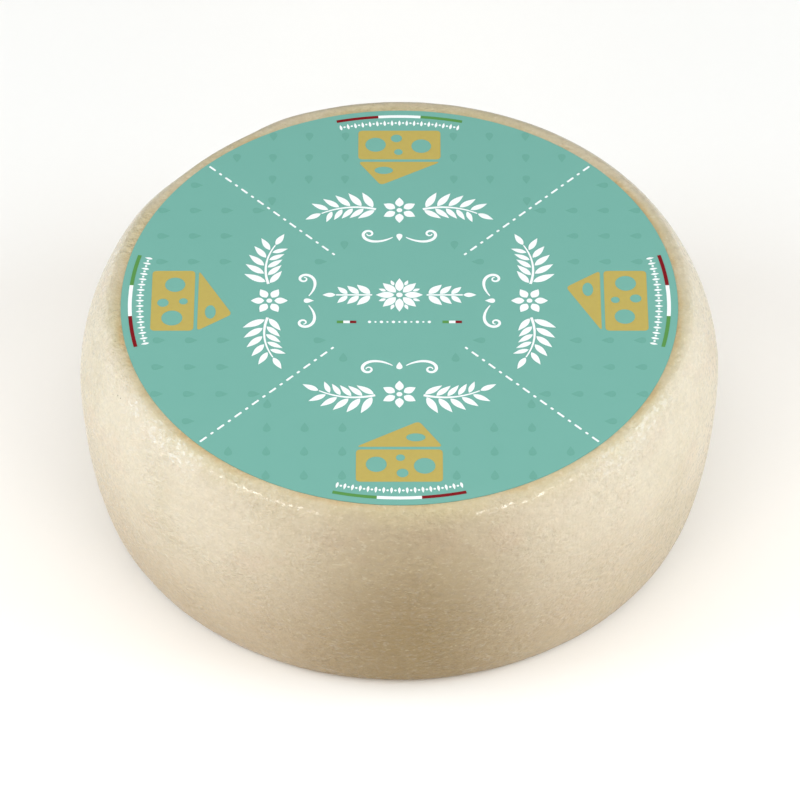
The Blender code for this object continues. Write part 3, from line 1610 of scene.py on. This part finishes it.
@dataclass
class CentreMark:
    """The middle of the label: a rosette between two sprigs, over a dotted line with two small flags."""

    press: Press
    petals: int = 8
    petal_length: float = 5.4 * MM
    petal_width: float = 2.5 * MM
    petal_start: float = 1.5 * MM
    short_petal_share: float = 0.42
    short_petal_start: float = 4.3 * MM
    rosette_y: float = 2.4 * MM
    rosette_eye: float = 0.95 * MM
    sprig_start: float = 8.6 * MM
    sprig_end: float = 18.6 * MM
    sprig_leaves: int = 3
    stem_lead: float = 0.6 * MM
    stem_width: float = 0.5 * MM
    leaf_length: float = 5.4 * MM
    leaf_width: float = 2.3 * MM
    leaf_lean: float = math.radians(44.0)
    leaf_shrink: float = 0.12
    leaf_lift: float = 0.45 * MM
    tip_length_share: float = 0.7
    tip_width_share: float = 0.75
    tip_gap: float = 0.2 * MM
    line_y: float = -8.8 * MM
    line_half: float = 9.6 * MM
    dot_pitch: float = 1.75 * MM
    large_dot: float = 0.50 * MM
    small_dot: float = 0.32 * MM
    flag_width: float = 1.9 * MM
    flag_height: float = 1.0 * MM
    flag_start: float = 12.6 * MM

    def build(self) -> list[bpy.types.Object]:
        """Makes the rosette, the sprigs, the dotted line and the flags.

        Returns:
            The white mark, and one piece for each colour of the flags.
        """
        white = [*self._rosette(), *self._sprigs(), *self._dots()]
        pieces = [self.press.laid(self.press.plate("centre_mark", white), Ink.WHITE)]
        for index, ink in enumerate(STRIPE_INKS):
            loops = [self._flag(index, -1), self._flag(index, 1)]
            pieces.append(self.press.laid(self.press.plate(f"centre_flags_{ink.name.lower()}", loops), ink))
        return pieces

    def _rosette(self) -> list[Loop]:
        """Long and short petals by turns round an eye.

        Returns:
            Their outlines.
        """
        loops = [circle_loop(0.0, self.rosette_y, self.rosette_eye, 18)]
        for step in range(self.petals * 2):
            long = step % 2 == 0
            share = 1.0 if long else self.short_petal_share
            start = self.petal_start if long else self.short_petal_start
            petal = moved(leaf_loop(self.petal_length * share, self.petal_width * share), x=start)
            loops.append(moved(moved(petal, turn=math.pi * step / self.petals), y=self.rosette_y))
        return loops

    def _sprigs(self) -> list[Loop]:
        """A short leafy sprig on each side of the rosette.

        Returns:
            Their outlines.
        """
        pitch = (self.sprig_end - self.sprig_start) / self.sprig_leaves
        stem = [(self.sprig_start - self.stem_lead, self.rosette_y), (self.sprig_end, self.rosette_y)]
        loops = [ribbon_loop(stem, lambda share: self.stem_width)]
        for index in range(self.sprig_leaves):
            size = 1.0 - self.leaf_shrink * index
            for side in (-1.0, 1.0):
                leaf = leaf_loop(self.leaf_length * size, self.leaf_width * size)
                lifted = self.rosette_y + side * self.leaf_lift
                loops.append(moved(leaf, self.sprig_start + pitch * index, lifted, self.leaf_lean * side))
        tip = leaf_loop(self.leaf_length * self.tip_length_share, self.leaf_width * self.tip_width_share)
        loops.append(moved(tip, self.sprig_end + self.tip_gap, self.rosette_y))
        return [*loops, *[mirrored(loop) for loop in loops]]

    def _dots(self) -> list[Loop]:
        """The dotted line under the rosette, with large and small dots by turns.

        Returns:
            The dots' outlines.
        """
        count = int(self.line_half / self.dot_pitch)
        loops = []
        for step in range(-count, count + 1):
            radius = self.large_dot if step % 2 else self.small_dot
            loops.append(circle_loop(step * self.dot_pitch, self.line_y, radius, 12))
        return loops

    def _flag(self, index: int, side: int) -> Loop:
        """One third of a small flag beside the dotted line.

        Args:
            index: Which third, from the left on both sides.
            side: -1 for the left-hand flag and 1 for the right-hand one.

        Returns:
            The outline.
        """
        start = self.flag_start if side > 0 else -self.flag_start - 3 * self.flag_width
        left = start + index * self.flag_width
        low = self.line_y - self.flag_height / 2
        right, high = left + self.flag_width, low + self.flag_height
        return [(left, low), (right, low), (right, high), (left, high)]


@dataclass
class Label:
    """The paper label with all its print."""

    centre: Vector
    radius: float
    wheel_top: float
    sheet_lift: float = 0.02 * MM
    sheet_thickness: float = 0.16 * MM

    def build(self) -> None:
        """Makes the sheet and lays every motif on it."""
        base = self.wheel_top + self.sheet_lift
        top = base + self.sheet_thickness
        report_piece(Paper(self.centre, self.radius, base, top).build(), Slot.PAPER, LABEL_NODE)
        press = Press(self.centre, top)
        motifs = [
            DropPattern(press, self.radius).build(),
            CutGuides(press).build(),
            *Garland(press).build(),
            Flourish(press).build(),
            CheeseEmblem(press).build(),
            *RimStripes(press).build(),
            *CentreMark(press).build(),
        ]
        for motif in motifs:
            report_piece(motif, Slot.PAPER)


# The studio


def direction(azimuth: float, elevation: float) -> Vector:
    """The way from the wheel to a place in the studio, in degrees; azimuth 0 is -Y and 90 is +X."""
    turn, rise = math.radians(azimuth), math.radians(elevation)
    return Vector((math.sin(turn) * math.cos(rise), -math.cos(turn) * math.cos(rise), math.sin(rise)))


@dataclass(frozen=True)
class Softbox:
    """A soft rectangular light that looks at the wheel; azimuth 0 is the camera's side and 90 the right."""

    name: str
    azimuth: float
    elevation: float
    distance: float
    width: float
    height: float
    watts: float
    colour: Colour

    def build(self, target: Vector) -> bpy.types.Object:
        """Hangs the light.

        Args:
            target: What it looks at.

        Returns:
            The lamp.
        """
        light = bpy.data.lights.new(self.name, "AREA")
        light.shape = "RECTANGLE"
        light.size = self.width
        light.size_y = self.height
        light.energy = self.watts
        light.color = self.colour
        lamp = linked(self.name, light)
        away = direction(self.azimuth, self.elevation)
        lamp.location = target + away * self.distance
        lamp.rotation_euler = away.to_track_quat("Z", "Y").to_euler()
        return lamp


@dataclass
class Studio:
    """The pale floor, the soft lights and the camera."""

    middle: Vector
    wheel_radius: float
    image_side: int = 800
    elevation: float = 45.82
    distance_in_radii: float = 17.0
    focal_pixels: float = 5412.0
    middle_pixel: Point = (399.4, 380.2)
    sensor: float = 36.0
    farthest_seen: float = 50.0
    floor_side: float = 8.0
    floor_tone: Colour = (0.900, 0.852, 0.806)
    ambient: float = 0.01
    lights: tuple[Softbox, ...] = (
        Softbox("left_box", -85.0, 22.0, 1.1, 0.7, 1.0, 12.0, (0.720, 0.868, 1.0)),
        Softbox("right_box", 85.0, 22.0, 1.1, 0.7, 1.0, 12.0, (0.720, 0.868, 1.0)),
        Softbox("top_box", 0.0, 87.0, 1.4, 1.6, 1.6, 15.0, (1.0, 0.956, 0.892)),
        Softbox("left_strip", -45.0, 23.0, 1.1, 0.75, 0.13, 4.0, (1.0, 0.955, 0.87)),
        Softbox("right_strip", 45.0, 23.0, 1.1, 0.75, 0.13, 4.0, (1.0, 0.955, 0.87)),
    )

    def build(self) -> None:
        """Sets the scene and takes the photo's view."""
        bpy.context.scene.view_settings.view_transform = "Standard"
        self._floor()
        self._ambient_light()
        for box in self.lights:
            box.build(self.middle)
        self._camera()

    def _floor(self) -> None:
        """Lays a plain pale sweep under the wheel."""
        form = bmesh.new()
        bmesh.ops.create_grid(form, x_segments=1, y_segments=1, size=self.floor_side / 2)
        floor = linked("studio_floor", mesh_of(form, "studio_floor"))
        graph = ShaderGraph("studio_paper")
        tone = graph.scaled(self.floor_tone, 0.995 + 0.01 * graph.noise(graph.place(), 300.0))
        floor.data.materials.append(graph.feed(Base_Color=tone, Roughness=0.9))
        floor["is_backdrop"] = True

    def _ambient_light(self) -> None:
        """Adds a little even light from all round."""
        world = bpy.data.worlds.new("studio_air")
        world.use_nodes = True
        background = world.node_tree.nodes["Background"]
        background.inputs["Color"].default_value = (1.0, 1.0, 1.0, 1.0)
        background.inputs["Strength"].default_value = self.ambient
        bpy.context.scene.world = world

    def _camera(self) -> None:
        """Sets up a long lens at the photo's height, aimed so that the wheel's middle lands on its pixel."""
        data = bpy.data.cameras.new("photo_camera")
        data.sensor_width = self.sensor
        data.lens = self.sensor * self.focal_pixels / self.image_side
        data.clip_end = self.farthest_seen
        camera = linked("photo_camera", data)
        away = direction(0.0, self.elevation)
        camera.location = self.middle + away * self.wheel_radius * self.distance_in_radii
        half = self.image_side / 2
        pitch = math.atan((half - self.middle_pixel[1]) / self.focal_pixels)
        yaw = math.atan((self.middle_pixel[0] - half) / self.focal_pixels)
        level = away.to_track_quat("Z", "Y").to_matrix()
        facing = level @ Matrix.Rotation(-pitch, 3, "X") @ Matrix.Rotation(yaw, 3, "Y")
        camera.rotation_euler = facing.to_euler()
        bpy.context.scene.camera = camera


def main() -> None:
    """Builds the wheel, the label and the studio, and works out the model's size before and after."""
    wheel_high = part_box(WHEEL_NODE)[1]
    label_low, label_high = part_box(LABEL_NODE)
    label_centre = (label_low + label_high) / 2
    label_radius = (label_high.x - label_low.x) / 2
    Studio(Vector((0.0, 0.0, wheel_high.z / 2)), wheel_high.x).build()
    rind = Rind(wheel_high.x, wheel_high.z, label_centre, label_radius)
    report_piece(rind.build(), Slot.RIND, WHEEL_NODE)
    Label(label_centre, label_radius, wheel_high.z).build()
    sizes = {"cad": CAD_BOX, "visual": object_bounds()}
    {name: [list(corner) for corner in box] for name, box in sizes.items()}


if __name__ == "__main__":
    logging.basicConfig(level=logging.INFO, format="%(name)s: %(message)s")
    main()
